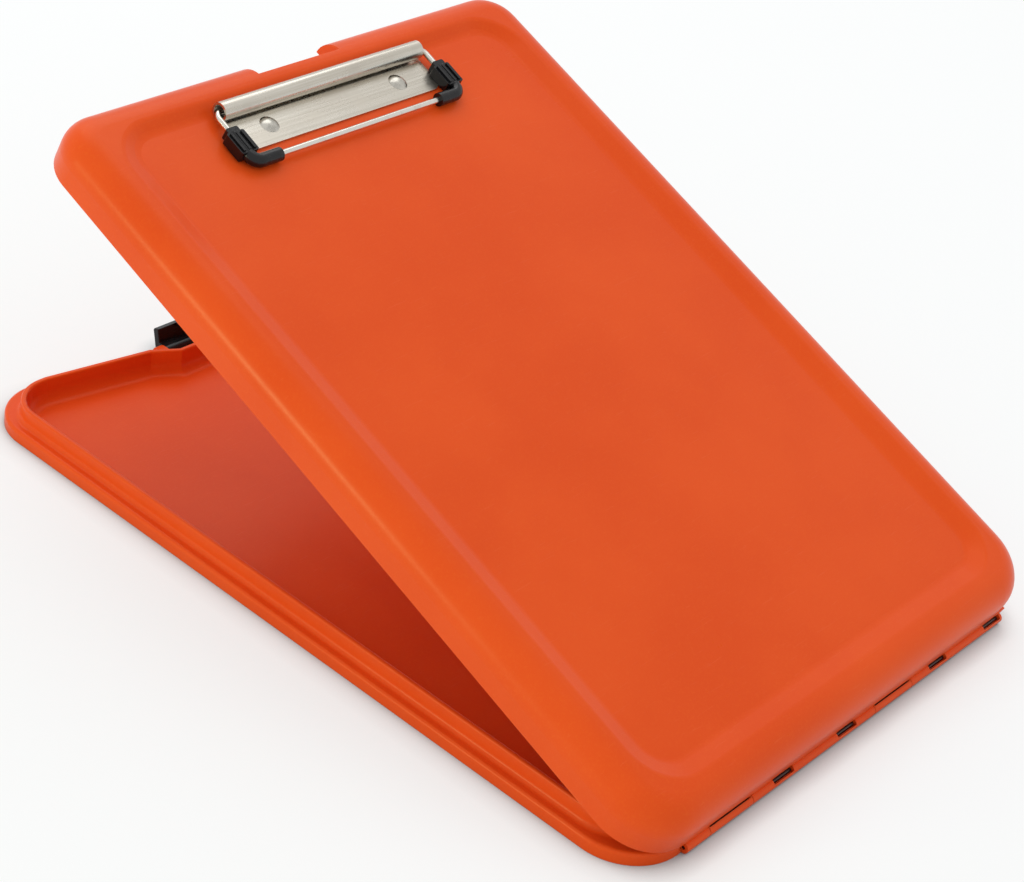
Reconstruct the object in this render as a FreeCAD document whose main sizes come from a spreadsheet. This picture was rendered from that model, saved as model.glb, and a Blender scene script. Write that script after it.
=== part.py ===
import FreeCAD, Part
import math
import os
import Sketcher

# A storage clipboard box: a shallow moulded tray, a lid that is also the writing board, a steel hinge
# pin along the front edge, a press-back latch at the back edge and a wire paper clip on the board.
# Origin: centre of the tray's underside. X runs along the hinge, Y from the hinge to the latch, Z up.
# The lid and what rides on it are drawn in the closed position and turned open about the hinge pin.

Vector = FreeCAD.Vector
doc = FreeCAD.newDocument("StorageClipboardBox")

DRIVING = [
    # whole box, closed
    ("box_width", 240.0, "overall width along the hinge"),
    ("box_length", 334.0, "length from the front wall to the back face, without the barrel"),
    ("box_height", 25.0, "overall height, closed"),
    ("corner_radius", 23.0, "plan corners of the tray, and of the lid at the hinge"),
    ("lid_back_corner", 17.0, "plan corners of the lid at the latch"),
    ("wall", 2.2, "moulded wall of the lid"),
    ("lid_angle", 21.2, "how far the lid stands open, degrees"),
    ("seat_gap", 0.3, "clearance between pieces that rest on each other"),
    ("overrun", 2.0, "how far a cut runs past the face that it opens"),
    # hinge
    ("barrel_radius", 2.2, "hinge barrel, round the pin"),
    ("barrel_forward", 0.2, "pin's axis in front of the lid's front wall"),
    ("pin_diameter", 1.7, "steel hinge pin"),
    ("pin_play", 0.05, "radial play of the pin in its bore"),
    ("pin_recess", 0.5, "pin end below the barrel's open end"),
    ("barrel_left_inset", 25.0, "barrel's open end from the box's left side"),
    ("barrel_right_inset", 12.8, "barrel's closed end from the box's right side"),
    ("barrel_end_wall", 1.1, "blind end of the pin bore"),
    ("knuckle_set_share", 0.1236, "first tray knuckle's middle from the barrel's open end, of its length"),
    ("knuckle_pitch_share", 0.496, "distance between the two tray knuckles, in barrel lengths"),
    ("knuckle_share", 0.1197, "length of a tray knuckle, in barrel lengths"),
    ("knuckle_gap", 0.3, "end clearance between knuckles"),
    ("knuckle_web", 3.0, "height of the web that carries a tray knuckle"),
    ("cradle_front", 0.95, "front lip of the slot over the pin in a tray knuckle, from the pin's axis"),
    ("cradle_back", 0.5, "back lip of that slot, from the pin's axis"),
    ("cradle_end", 0.5, "closed end of that slot"),
    ("window_share", 0.0584, "length of a shut-off window in the lid's barrel, in barrel lengths"),
    ("window_front", 1.55, "shut-off window's front edge from the pin's axis"),
    ("window_corner", 0.4, "shut-off window's corner"),
    ("window_reach_share", 0.0969, "window's middle from its lid knuckle's middle, in barrel lengths"),
    # tray
    ("floor_thickness", 2.0, "tray floor"),
    ("ledge_height", 5.2, "top of the ledge that the lid's rim lands on"),
    ("flange_thickness", 2.0, "ledge plate"),
    ("skirt_wall", 2.0, "tray's outer skirt"),
    ("ledge_rounding", 1.4, "outer edge of the ledge"),
    ("coaming_inset", 4.8, "coaming's outer face from the box side"),
    ("coaming_back_inset", 6.5, "coaming's outer face from the back face, at the corners"),
    ("coaming_front_inset", 9.4, "coaming's outer face from the hinge face"),
    ("coaming_wall", 2.2, "coaming thickness"),
    ("coaming_height", 12.0, "coaming's rim above the table"),
    ("coaming_rounding", 0.8, "coaming's rim"),
    ("coaming_foot", 2.0, "hollow rounding between ledge and coaming"),
    ("floor_rounding", 5.0, "inside corner of floor and coaming"),
    ("channel_rib", 1.6, "rib that ties skirt and coaming"),
    ("channel_rib_pitch_share", 0.1557, "distance between those ribs, in box lengths"),
    ("channel_rib_start_share", 0.3892, "first rib, in front of the middle, in box lengths"),
    # latch bay at the tray's back edge
    ("latch_offset", -4.0, "latch's middle, along X"),
    ("latch_width", 58.0, "latch bar"),
    ("bay_clearance", 0.5, "latch to lug, each end"),
    ("lug_thickness", 3.2, "lug that holds the latch pin"),
    ("lug_skin", 0.8, "lug left standing past the pin's hole"),
    ("bay_margin", 1.0, "coaming bay beyond the lugs"),
    ("bay_depth", 14.2, "coaming set back behind the latch"),
    ("bay_step", 6.2, "part of that depth that a short step beside the lugs takes"),
    ("bay_step_run", 11.0, "run of that step"),
    ("back_run_share", 0.944, "coaming's slanted run to the bay, in the room between bay and corner"),
    ("recess_margin", 2.3, "flat of the ledge's finger recess beyond the bay"),
    ("recess_run_share", 0.965, "slanted end of that recess, in the room between flat and corner"),
    ("recess_depth_back", 8.5, "depth of that recess"),
    ("rim_fall", 1.5, "fall of the coaming's rim towards the bay"),
    ("rim_dip", 3.2, "finger dip in the bay's rim"),
    ("dip_run", 7.0, "slanted end of the finger dip"),
    ("latch_axis_inset", 10.2, "latch pin from the back face"),
    ("latch_axis_height", 3.4, "latch pin above the table"),
    ("latch_pin_diameter", 1.8, "latch pin"),
    ("hub_radius", 3.0, "latch hub"),
    ("latch_plate", 3.2, "latch bar's thickness"),
    ("latch_face_gap", 0.3, "latch bar to the lid's channel"),
    ("latch_top", 9.6, "latch bar's top above its pin"),
    ("nose_width", 38.0, "latch nose"),
    ("nose_reach", 2.0, "latch nose over the catch"),
    ("nose_height", 1.6, "latch nose"),
    ("nose_lead", 1.0, "slope on top of the nose"),
    ("latch_rounding", 1.0, "latch bar's outer top edge"),
    ("latch_heel", 0.6, "bar's foot above the pin's level"),
    ("latch_lean", 15.0, "how far the latch leans back at rest, degrees"),
    # lid
    ("lid_rim_gap", 0.5, "lid's rim above the ledge, closed"),
    ("shoulder", 11.0, "rounding between the lid's side and top"),
    ("recess_depth", 3.0, "writing panel below the lid's crest"),
    ("crest_inset", 13.5, "crest's inner edge from the box side"),
    ("panel_inset", 21.0, "panel from the box side, at the sides and the hinge"),
    ("panel_back_inset", 18.5, "panel from the back face"),
    ("panel_corner", 12.0, "panel's plan corners"),
    ("crest_rounding", 4.0, "crest's inner edge"),
    ("panel_rounding", 6.0, "foot of the slope round the panel"),
    ("channel_depth", 7.8, "latch channel in the lid's back wall"),
    ("catch_depth", 2.0, "catch ledge that the nose hooks over"),
    ("catch_height", 11.0, "catch ledge above the table, closed"),
    ("channel_headroom", 1.6, "channel above the latch bar"),
    ("bay_rim_height", 8.5, "lid's rim over the latch hub, closed"),
    ("notch_half", 21.8, "half the notch's floor"),
    ("lip_inset", 7.0, "notch floor's back edge from the back face"),
    ("notch_flare", 6.5, "notch's cheek, each side"),
    ("notch_rounding", 1.8, "notch floor's back edge"),
    # paper clip
    ("clip_offset", -2.6, "clip's middle, along X"),
    ("clip_inset", 20.5, "tube's axis from the back face"),
    ("tube_radius", 3.7, "rolled tube, outside"),
    ("sheet_thickness", 0.9, "clip's steel sheet"),
    ("tube_length", 107.0, "rolled tube and base plate along X"),
    ("roll_end", 205.0, "where the roll ends, degrees"),
    ("plate_reach", 18.5, "base plate in front of the tube's axis"),
    ("plate_corner", 5.0, "base plate's front corners"),
    ("rivet_inset", 18.5, "rivet from the tube's end"),
    ("rivet_set", 10.0, "rivet in front of the tube's axis"),
    ("rivet_shank", 1.9, "rivet shank's radius"),
    ("rivet_head", 4.0, "rivet head's radius"),
    ("rivet_head_height", 1.5, "rivet head"),
    ("rivet_tail", 3.1, "closed end's radius"),
    ("rivet_tail_height", 1.3, "closed end"),
    ("rivet_play", 0.05, "radial play of the shank"),
    ("rivet_gap", 0.03, "clearance under a rivet's head, and above the washer"),
    ("washer_radius", 5.0, "backing washer"),
    ("washer_thickness", 0.8, "backing washer"),
    # wire bail and its corner grips
    ("wire_radius", 1.2, "bail wire"),
    ("bail_overhang", 2.5, "bail's arm beyond the tube's end"),
    ("bail_arm", 25.0, "tube's axis to the crossbar"),
    ("bail_bend", 3.6, "bend of the wire's centre line"),
    ("bail_tail_length", 23.5, "wire's inner end from the tube's end"),
    ("grip_radius", 2.7, "grip's sleeve"),
    ("grip_foot", 12.6, "grip along the crossbar, from the arm"),
    ("grip_top", 9.0, "grip's upper end in front of the tube's axis"),
    ("grip_cap", 2.2, "narrow collar at the grip's upper end"),
    ("grip_cap_half", 2.9, "half the collar's width"),
    ("grip_block_half", 4.2, "half the thumb pad's width"),
    ("grip_block_thickness", 4.6, "thumb pad"),
    ("grip_rib_height", 0.7, "ribs on the thumb pad"),
    ("grip_rib_half", 0.55, "half a rib's width"),
    ("grip_rib_pitch", 2.6, "distance between the ribs"),
    ("grip_edge", 0.8, "thumb pad's corners"),
    ("grip_play", 0.05, "radial play of the grip on the wire"),
    # torsion springs on the bail's tails
    ("spring_inner", 1.55, "coil's inside radius"),
    ("spring_outer", 2.4, "coil's outside radius"),
    ("spring_length", 12.0, "coil's length"),
    ("spring_inset", 3.1, "coil's outer end from the tube's end"),
]

RIB_COUNT = 6
PLANE_FRONT = "XZ_Plane"
PLANE_SIDE = "YZ_Plane"
PLANE_TOP = "XY_Plane"

sheet = doc.addObject("Spreadsheet::Sheet", "Sizes")
for row, (alias, value, note) in enumerate(DRIVING, 1):
    sheet.set("A%d" % row, note)
    sheet.set("B%d" % row, repr(value))
    sheet.setAlias("B%d" % row, alias)
doc.recompute()


class Size:
    """A length worked out from sheet cells: its value now, and the expression that keeps it."""

    def __init__(self, value, text):
        self.value = float(value)
        self.text = text

    @staticmethod
    def of(other):
        return other if isinstance(other, Size) else Size(other, repr(float(other)))

    def __add__(self, other):
        other = Size.of(other)
        return Size(self.value + other.value, "(%s + %s)" % (self.text, other.text))

    def __sub__(self, other):
        other = Size.of(other)
        return Size(self.value - other.value, "(%s - %s)" % (self.text, other.text))

    def __mul__(self, other):
        other = Size.of(other)
        return Size(self.value * other.value, "(%s * %s)" % (self.text, other.text))

    def __truediv__(self, other):
        other = Size.of(other)
        return Size(self.value / other.value, "(%s / %s)" % (self.text, other.text))

    def __neg__(self):
        return Size(-self.value, "(0 - %s)" % self.text)

    def __radd__(self, other):
        return Size.of(other) + self

    def __rsub__(self, other):
        return Size.of(other) - self

    def __rmul__(self, other):
        return Size.of(other) * self


def cosine(angle):
    """Cosine of an angle in degrees."""
    return Size(math.cos(math.radians(angle.value)), "cos(%s)" % angle.text)


def sine(angle):
    """Sine of an angle in degrees."""
    return Size(math.sin(math.radians(angle.value)), "sin(%s)" % angle.text)


def root(square):
    """Square root."""
    return Size(math.sqrt(square.value), "sqrt(%s)" % square.text)


def distance(size):
    """A size without its sign."""
    return Size(abs(size.value), "abs(%s)" % size.text)


class Cells:
    """The sheet's cells by name."""

    def __getattr__(self, alias):
        return Size(sheet.get(alias), "Sizes.%s" % alias)


d = Cells()
ZERO = Size.of(0)

half_width = d.box_width / 2
half_length = d.box_length / 2
barrel_left = half_width - d.barrel_left_inset
barrel_right = half_width - d.barrel_right_inset
barrel_length = barrel_left + barrel_right
knuckle_length = barrel_length * d.knuckle_share
knuckle_pitch = barrel_length * d.knuckle_pitch_share
knuckle_start = barrel_left - barrel_length * d.knuckle_set_share
window_length = barrel_length * d.window_share
window_reach = barrel_length * d.window_reach_share
rib_pitch = d.box_length * d.channel_rib_pitch_share
rib_start = d.box_length * d.channel_rib_start_share
hinge_y = -(half_length + d.barrel_forward)
wall_inside = d.wall - half_length
hinge_z = d.barrel_radius
bore_radius = d.pin_diameter / 2 + d.pin_play
lid_rim = d.ledge_height + d.lid_rim_gap
panel_top = d.box_height - d.recess_depth
panel_under = panel_top - d.wall
bay_half = d.latch_width / 2 + d.bay_clearance
lug_half = bay_half + d.lug_thickness
coaming_back = half_length - d.coaming_back_inset
bay_face = coaming_back - d.bay_depth
coaming_front = d.coaming_front_inset - half_length
latch_y = half_length - d.latch_axis_inset
bay_flat = lug_half + d.bay_margin
recess_start = bay_flat + d.recess_margin
corner_room = half_width - d.corner_radius - distance(d.latch_offset)
back_run = (corner_room - bay_flat) * d.back_run_share
bay_turn = bay_half + d.lug_thickness / 2 + d.bay_step_run
recess_run = (corner_room - recess_start) * d.recess_run_share
lid_knuckle = knuckle_pitch / 2 - knuckle_start
rivet_spread = d.tube_length / 2 - d.rivet_inset
bail_half = d.tube_length / 2 + d.bail_overhang
bail_tail = d.tube_length / 2 - d.bail_tail_length
spring_end = d.tube_length / 2 - d.spring_inset


def rounded(x0, x1, y0, y1, radius):
    """Loop of a rounded rectangle, anticlockwise: each corner point with the arc that leaves it."""
    return [(x0 + radius, y0, None), (x1 - radius, y0, radius), (x1, y0 + radius, None),
            (x1, y1 - radius, radius), (x1 - radius, y1, None), (x0 + radius, y1, radius),
            (x0, y1 - radius, None), (x0, y0 + radius, radius)]


def lid_outline():
    """Lid's plan: rounded rectangle with tighter corners at the latch edge."""
    loop = rounded(-half_width, half_width, -half_length, half_length, d.corner_radius)
    x, y, r = half_width, half_length, d.lid_back_corner
    return loop[:3] + [(x, y - r, r), (x - r, y, None), (r - x, y, r), (-x, y - r, None), loop[7]]


def drawn_in(loop, back, flat, run, depth):
    """Draws the back edge of a rounded rectangle in to a flat round the latch, over two slanted runs."""
    x = d.latch_offset
    bay = [(x + flat + run, back, None), (x + flat, back - depth, None), (x - flat, back - depth, None),
           (x - flat - run, back, None)]
    return loop[:5] + bay + loop[5:]


def square(x0, x1, y0, y1):
    """Loop of a plain rectangle, anticlockwise."""
    return [(x0, y0, None), (x1, y0, None), (x1, y1, None), (x0, y1, None)]


def bind(thing, name, size):
    """Ties one property to the sheet."""
    thing.setExpression(name, size.text)


class Sketch:
    """A sketch whose every point and radius is tied to the sheet."""

    def __init__(self, sketch):
        self.sketch = sketch

    def attach(self, origin, offset):
        """Lays the sketch on one of its body's planes, at an offset."""
        self.sketch.AttachmentSupport = [(origin, "")]
        self.sketch.MapMode = "FlatFace"
        self.sketch.AttachmentOffset = FreeCAD.Placement(Vector(0, 0, offset.value), FreeCAD.Rotation())
        bind(self.sketch, "AttachmentOffset.Base.z", offset)

    def fix(self, kind, size, *places):
        number = self.sketch.addConstraint(Sketcher.Constraint(kind, *places, size.value))
        self.sketch.setExpression("Constraints[%d]" % number, size.text)

    def pin(self, edge, end, x, y):
        self.fix("DistanceX", x, -1, 1, edge, end)
        self.fix("DistanceY", y, -1, 1, edge, end)

    def circle(self, x, y, radius):
        shape = Part.Circle(Vector(x.value, y.value, 0), Vector(0, 0, 1), radius.value)
        edge = self.sketch.addGeometry(shape)
        self.pin(edge, 3, x, y)
        self.fix("Radius", radius, edge)

    def path(self, points, closed=False):
        """Lines and arcs through points; a point's radius bends the edge that leaves it, left if positive."""
        count = len(points) if closed else len(points) - 1
        ends = []
        for index in range(count):
            x, y, radius = points[index]
            following = points[(index + 1) % len(points)]
            start = Vector(x.value, y.value, 0)
            stop = Vector(following[0].value, following[1].value, 0)
            if radius is None:
                edge = self.sketch.addGeometry(Part.LineSegment(start, stop))
                ends.append((edge, 1, 2))
                continue
            chord = stop - start
            sign = math.copysign(1, radius.value)
            side = Vector(-chord.y, chord.x, 0).normalize() * sign
            rise = math.sqrt(max(radius.value ** 2 - chord.Length ** 2 / 4, 0))
            centre = start + chord / 2 + side * rise
            circle = Part.Circle(centre, Vector(0, 0, 1), abs(radius.value))
            first, last = (start, stop) if sign > 0 else (stop, start)
            angles = [math.atan2((p - centre).y, (p - centre).x) for p in (first, last)]
            edge = self.sketch.addGeometry(Part.ArcOfCircle(circle, *angles))
            ends.append((edge, 1, 2) if sign > 0 else (edge, 2, 1))
            self.fix("Radius", radius if sign > 0 else -radius, edge)
        for index, (edge, begin, finish) in enumerate(ends):
            self.pin(edge, begin, points[index][0], points[index][1])
            if closed or index + 1 < count:
                after = ends[(index + 1) % count]
                self.sketch.addConstraint(Sketcher.Constraint("Coincident", edge, finish, after[0], after[1]))
        if not closed:
            edge, begin, finish = ends[-1]
            self.pin(edge, finish, points[-1][0], points[-1][1])

    def loops(self, *loops):
        for loop in loops:
            self.path(loop, closed=True)


class Piece:
    """One moulded, cut or formed piece: a body whose features are tied to the sheet."""

    def __init__(self, label):
        self.body = doc.addObject("PartDesign::Body", label)
        self.body.Label = label
        self.count = 0

    def sketch(self, plane, offset=ZERO):
        self.count += 1
        name = "%s_sketch_%d" % (self.body.Name, self.count)
        made = Sketch(self.body.newObject("Sketcher::SketchObject", name))
        made.attach([o for o in self.body.Origin.OriginFeatures if o.Role == plane][0], offset)
        return made

    def feature(self, kind, profile=None):
        self.count += 1
        made = self.body.newObject("PartDesign::" + kind, "%s_%s_%d" % (self.body.Name, kind, self.count))
        if profile is not None:
            made.Profile = profile.sketch
        return made

    def pad(self, plane, start, length, *loops, flip=False):
        profile = self.sketch(plane, start)
        profile.loops(*loops)
        return self.extrude("Pad", profile, length, flip)

    def cut(self, plane, start, length, *loops, flip=False):
        profile = self.sketch(plane, start)
        profile.loops(*loops)
        return self.extrude("Pocket", profile, length, flip)

    def extrude(self, kind, profile, length, flip):
        made = self.feature(kind, profile)
        bind(made, "Length", length)
        made.Reversed = flip
        doc.recompute()
        return made

    def edges(self, test):
        """Names of the tip's edges whose ends and middle pass a test."""
        names = []
        for number, edge in enumerate(self.body.Tip.Shape.Edges, 1):
            first, last = edge.ParameterRange
            middle = edge.valueAt((first + last) / 2)
            if all(test(p) for p in (edge.valueAt(first), middle, edge.valueAt(last))):
                names.append("Edge%d" % number)
        return names

    def soften(self, kind, names, size):
        base = self.body.Tip
        made = self.feature(kind)
        made.Base = (base, names)
        bind(made, "Radius" if kind == "Fillet" else "Size", size)
        doc.recompute()
        return made

    def pipe(self, kind, profile, path):
        made = self.feature(kind, profile)
        made.Spine = (path.sketch, ["Edge%d" % (n + 1) for n in range(len(path.sketch.Geometry))])
        doc.recompute()
        return made


def opened(y, z):
    """Where a point of the closed lid stands once the lid is open."""
    c, s = cosine(d.lid_angle), sine(d.lid_angle)
    return hinge_y + (y - hinge_y) * c - (z - hinge_z) * s, hinge_z + (y - hinge_y) * s + (z - hinge_z) * c


def turn_with_lid(thing, x, y, z, tilt):
    """Places a piece drawn about a point of the closed lid, tilted about X, then opened with the lid."""
    place(thing, (x,) + opened(y, z), d.lid_angle + tilt)


def place(thing, base, angle):
    """Places a piece at a point, turned about X."""
    rotation = FreeCAD.Rotation(Vector(1, 0, 0), angle.value)
    thing.Placement = FreeCAD.Placement(Vector(*[b.value for b in base]), rotation)
    for axis, size in zip("xyz", base):
        bind(thing, "Placement.Base." + axis, size)
    bind(thing, "Placement.Rotation.Angle", angle)


def near(value, target):
    return abs(value - target) < 1e-3


def coaming_loop(inset):
    """Coaming's plan, set in from its outer face, with the bay that leaves room for the latch."""
    x0, x1 = inset + d.coaming_inset - half_width, half_width - d.coaming_inset - inset
    y0, y1 = coaming_front + inset, coaming_back - inset
    radius = d.corner_radius - d.coaming_inset - inset
    slant = d.bay_depth - d.bay_step
    run = bay_flat + back_run - bay_turn
    lean, steep = inset * slant / run / 2, inset * d.bay_step / d.bay_step_run / 2
    turn = bay_turn + lean + steep
    loop = drawn_in(rounded(x0, x1, y0, y1, radius), y1, turn, run - steep, slant)
    x, low = d.latch_offset, bay_turn - d.bay_step_run + steep
    return loop[:7] + [(x + low, y1 - d.bay_depth, None), (x - low, y1 - d.bay_depth, None)] + loop[7:]


def skirt_loop(inset):
    """Skirt's plan, set in from its outer face, with the finger recess in the back edge."""
    x, y = half_width - inset, half_length - inset
    flat = recess_start + inset * d.recess_depth_back / recess_run / 2
    loop = rounded(-x, x, -y, y, d.corner_radius - inset)
    return drawn_in(loop, y, flat, recess_run, d.recess_depth_back)


def barrel_profile(top):
    """Hinge barrel with the wall that stands on it: three arcs round the pin, then the wall's two faces."""
    r, forward = d.barrel_radius, d.barrel_forward
    meet = hinge_z + root(r * r - forward * forward)
    return [(-half_length, top, None), (-half_length, meet, r), (hinge_y - r, hinge_z, r), (hinge_y, ZERO, r),
            (hinge_y + r, hinge_z, None), (wall_inside, hinge_z + d.seat_gap, None), (wall_inside, top, None)]


def make_tray():
    """Tray: floor, coaming, ledge with a down-turned skirt, two hinge knuckles and the latch bay."""
    tray = Piece("tray")
    tray.pad(PLANE_TOP, ZERO, d.ledge_height, skirt_loop(ZERO), skirt_loop(d.skirt_wall))
    top = d.ledge_height
    plate = d.flange_thickness
    tray.pad(PLANE_TOP, top - plate, plate, skirt_loop(ZERO), coaming_loop(d.coaming_wall / 2))
    rim = tray.edges(lambda p: near(p.z, top.value) and not on_coaming(p, d.coaming_wall.value / 2))
    tray.soften("Fillet", rim, d.ledge_rounding)
    tray.pad(PLANE_TOP, ZERO, d.floor_thickness, coaming_loop(ZERO))
    tray.pad(PLANE_TOP, ZERO, d.coaming_height, coaming_loop(ZERO), coaming_loop(d.coaming_wall))
    rims = tray.edges(lambda p: near(p.z, d.coaming_height.value))
    tray.soften("Fillet", rims, d.coaming_rounding)
    feet = tray.edges(lambda p: near(p.z, top.value) and on_coaming(p, ZERO.value))
    tray.soften("Fillet", feet, d.coaming_foot)
    foot = tray.edges(lambda p: near(p.z, d.floor_thickness.value) and inside_coaming(p))
    tray.soften("Fillet", foot, d.floor_rounding)
    make_ribs(tray)
    cut_rim(tray)
    cut_for_lid(tray)
    make_knuckles(tray)
    make_lugs(tray)
    return tray


def on_coaming(p, inset):
    """True near the coaming's plan at an inset from its outer face."""
    x1 = (half_width - d.coaming_inset).value - inset
    y0, y1 = coaming_front.value + inset, coaming_back.value - inset
    radius = (d.corner_radius - d.coaming_inset).value - inset
    x, y = abs(p.x) - x1 + radius, max(p.y - y1, y0 - p.y) + radius
    if x > 0 and y > 0:
        return abs(math.hypot(x, y) - radius) < d.wall.value / 2
    face = (bay_face - d.wall).value
    return abs(abs(p.x) - x1) < d.wall.value / 2 or near(p.y, y0) or (face < p.y < y1 + d.wall.value / 2
                                                                     and abs(p.x) < x1 - radius)


def inside_coaming(p):
    """True for edges on the tray's inside."""
    half = d.coaming_wall.value / 2
    limit = (half_width - d.coaming_inset).value - half
    return abs(p.x) < limit and coaming_front.value + half < p.y < coaming_back.value - half


def make_ribs(tray):
    """Short ribs that tie the skirt to the coaming under the ledge, on both long sides."""
    reach = half_width - d.coaming_inset + d.coaming_wall / 2 - d.coaming_wall
    y0 = -rib_start
    loops = []
    for index in range(RIB_COUNT):
        low = y0 + rib_pitch * index
        high = low + d.channel_rib
        loops.append(square(reach, half_width - d.skirt_wall / 2, low, high))
        loops.append(square(d.skirt_wall / 2 - half_width, -reach, low, high))
    tray.pad(PLANE_TOP, ZERO, d.ledge_height - d.flange_thickness / 2, *loops)


def cut_rim(tray):
    """Lets the back rim fall towards the bay and gives it a finger dip behind the latch."""
    top = d.coaming_height + d.overrun
    fall = d.coaming_height - d.rim_fall
    dip = d.coaming_height - d.rim_dip
    flat = bay_flat
    far = flat + back_run
    low = flat - d.dip_run
    x = d.latch_offset
    loop = [(x - far, top, None), (x - far, d.coaming_height, None),
            (x - flat, fall, None), (x - low, dip, None),
            (x + low, dip, None), (x + flat, fall, None),
            (x + far, d.coaming_height, None), (x + far, top, None)]
    start = bay_face - d.coaming_wall * 2
    tray.cut(PLANE_FRONT, -(half_length + d.overrun), half_length + d.overrun - start, loop, flip=False)


def cut_for_lid(tray):
    """Opens the ledge at the hinge for the lid's barrel, and at the back for the latch."""
    gap = d.knuckle_gap + d.seat_gap / 2
    hinge = square(-(barrel_left + gap), barrel_right + gap, -(half_length + d.overrun), coaming_front)
    bay = square(d.latch_offset - bay_half, d.latch_offset + bay_half, bay_face, half_length + d.overrun)
    tray.cut(PLANE_TOP, -d.overrun, d.coaming_height + d.overrun * 2, hinge, bay, flip=True)


def make_knuckles(tray):
    """Tray knuckles: a barrel round the pin with a web back to the tray's front wall."""
    back = coaming_front + d.coaming_wall / 2
    web = [(hinge_y, ZERO, None), (back, ZERO, None),
           (back, d.knuckle_web, None), (hinge_y, d.knuckle_web, None)]
    for index in range(2):
        middle = knuckle_pitch * index - knuckle_start
        start = middle - knuckle_length / 2
        tray.pad(PLANE_SIDE, start, knuckle_length, web)
        round_part = tray.sketch(PLANE_SIDE, start)
        round_part.circle(hinge_y, hinge_z, d.barrel_radius)
        tray.extrude("Pad", round_part, knuckle_length, False)
    bore = tray.sketch(PLANE_SIDE, -(barrel_left + d.overrun))
    bore.circle(hinge_y, hinge_z, bore_radius)
    tray.extrude("Pocket", bore, barrel_left + barrel_right, True)
    cut_cradles(tray)


def cut_cradles(tray):
    """Slot over the pin along each tray knuckle, narrower than the pin, through which it snaps home."""
    slots = []
    for index in range(2):
        middle = knuckle_pitch * index - knuckle_start
        half = knuckle_length / 2 - d.cradle_end
        slots.append(square(middle - half, middle + half, hinge_y - d.cradle_front, hinge_y + d.cradle_back))
    tray.cut(PLANE_TOP, hinge_z, d.barrel_radius + d.overrun, *slots, flip=True)


def make_lugs(tray):
    """Two rounded ears beside the bay carry the latch pin."""
    y0 = bay_face - d.coaming_wall / 2
    z, r = d.latch_axis_height, d.latch_axis_height
    ear = [(y0, ZERO, None), (latch_y, ZERO, r), (latch_y + r, z, r),
           (latch_y, z + r, None), (y0, z + r, None)]
    for start in (-lug_half, bay_half):
        tray.pad(PLANE_SIDE, d.latch_offset + start, d.lug_thickness, ear)
    hole = tray.sketch(PLANE_SIDE, d.latch_offset - lug_half + d.lug_skin)
    hole.circle(latch_y, z, d.latch_pin_diameter / 2 + d.pin_play)
    tray.extrude("Pocket", hole, (lug_half - d.lug_skin) * 2, True)


def make_lid():
    """Lid: rounded shell with the writing panel sunk in its top, open below, hinge barrel at the front."""
    lid = Piece("lid")
    lid.pad(PLANE_TOP, lid_rim, d.box_height - lid_rim, lid_outline())
    top = lid.edges(lambda p: near(p.z, d.box_height.value))
    lid.soften("Fillet", top, d.shoulder)
    sink_panel(lid)
    shell = lid.feature("Thickness")
    under = [n for n, f in enumerate(lid.body.Shape.Faces, 1) if near(f.CenterOfMass.z, lid_rim.value)]
    shell.Base = (lid.body.Group[-2], ["Face%d" % under[0]])
    bind(shell, "Value", d.wall)
    shell.Reversed = True
    doc.recompute()
    thicken_for_latch(lid)
    cut_latch_channel(lid)
    make_barrel(lid)
    drill_rivets(lid)
    turn_with_lid(lid.body, ZERO, ZERO, ZERO, ZERO)
    return lid


def panel_loop(share):
    """Panel's plan: share 0 at the panel's floor, 1 at the crest, more above it."""
    side = d.panel_inset - (d.panel_inset - d.crest_inset) * share
    back = d.panel_back_inset - (d.panel_back_inset - d.crest_inset) * share
    radius = d.panel_corner + (d.panel_inset - d.crest_inset) * share
    return rounded(side - half_width, half_width - side, side - half_length, half_length - back, radius)


def sink_panel(lid):
    """Sinks the writing panel: a loft from the panel's floor out to the crest, with soft edges."""
    above_share = 1.25
    floor = lid.sketch(PLANE_TOP, panel_top)
    floor.loops(panel_loop(0))
    crest = lid.sketch(PLANE_TOP, panel_top + d.recess_depth * above_share)
    crest.loops(panel_loop(above_share))
    loft = lid.feature("SubtractiveLoft", floor)
    loft.Sections = [crest.sketch]
    loft.Ruled = True
    doc.recompute()
    reach = (half_width - d.shoulder).value
    crest_edges = lid.edges(lambda p: near(p.z, d.box_height.value) and abs(p.x) < reach
                            and abs(p.y) < (half_length - d.shoulder - d.seat_gap).value)
    lid.soften("Fillet", crest_edges, d.crest_rounding)
    foot_edges = lid.edges(lambda p: near(p.z, panel_top.value))
    lid.soften("Fillet", foot_edges, d.panel_rounding)


def filler(front, low):
    """Filler's profile behind the back wall: up to the middle of the shell, under the shoulder's round."""
    middle = d.shoulder - d.wall / 2
    y, z = half_length - d.shoulder, d.box_height - d.shoulder
    reach = z + root(middle * middle - (front - y) * (front - y))
    return [(front, low, None), (y + middle, low, None), (y + middle, z, middle), (front, reach, None)]


def thicken_for_latch(lid):
    """Fills the shell behind the latch channel and under the notch."""
    x = d.latch_offset
    deep = half_length - d.channel_depth - d.catch_depth - d.wall
    shallow = half_length - d.channel_depth - d.wall
    middle = d.notch_half + d.wall
    lid.pad(PLANE_SIDE, x - middle, middle * 2, filler(half_length - d.shoulder, d.bay_rim_height))
    lid.pad(PLANE_TOP, d.bay_rim_height, panel_under - d.bay_rim_height,
            square(x - middle, x + middle, deep, half_length - d.shoulder + d.wall))
    lid.pad(PLANE_SIDE, x - lug_half, lug_half * 2, filler(shallow, d.bay_rim_height))
    cheek = d.notch_half + d.notch_flare + d.wall
    front = half_length - d.panel_back_inset - d.panel_rounding
    lid.pad(PLANE_TOP, panel_under, d.wall / 2, square(x - cheek, x + cheek, front, deep + d.wall))


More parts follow.
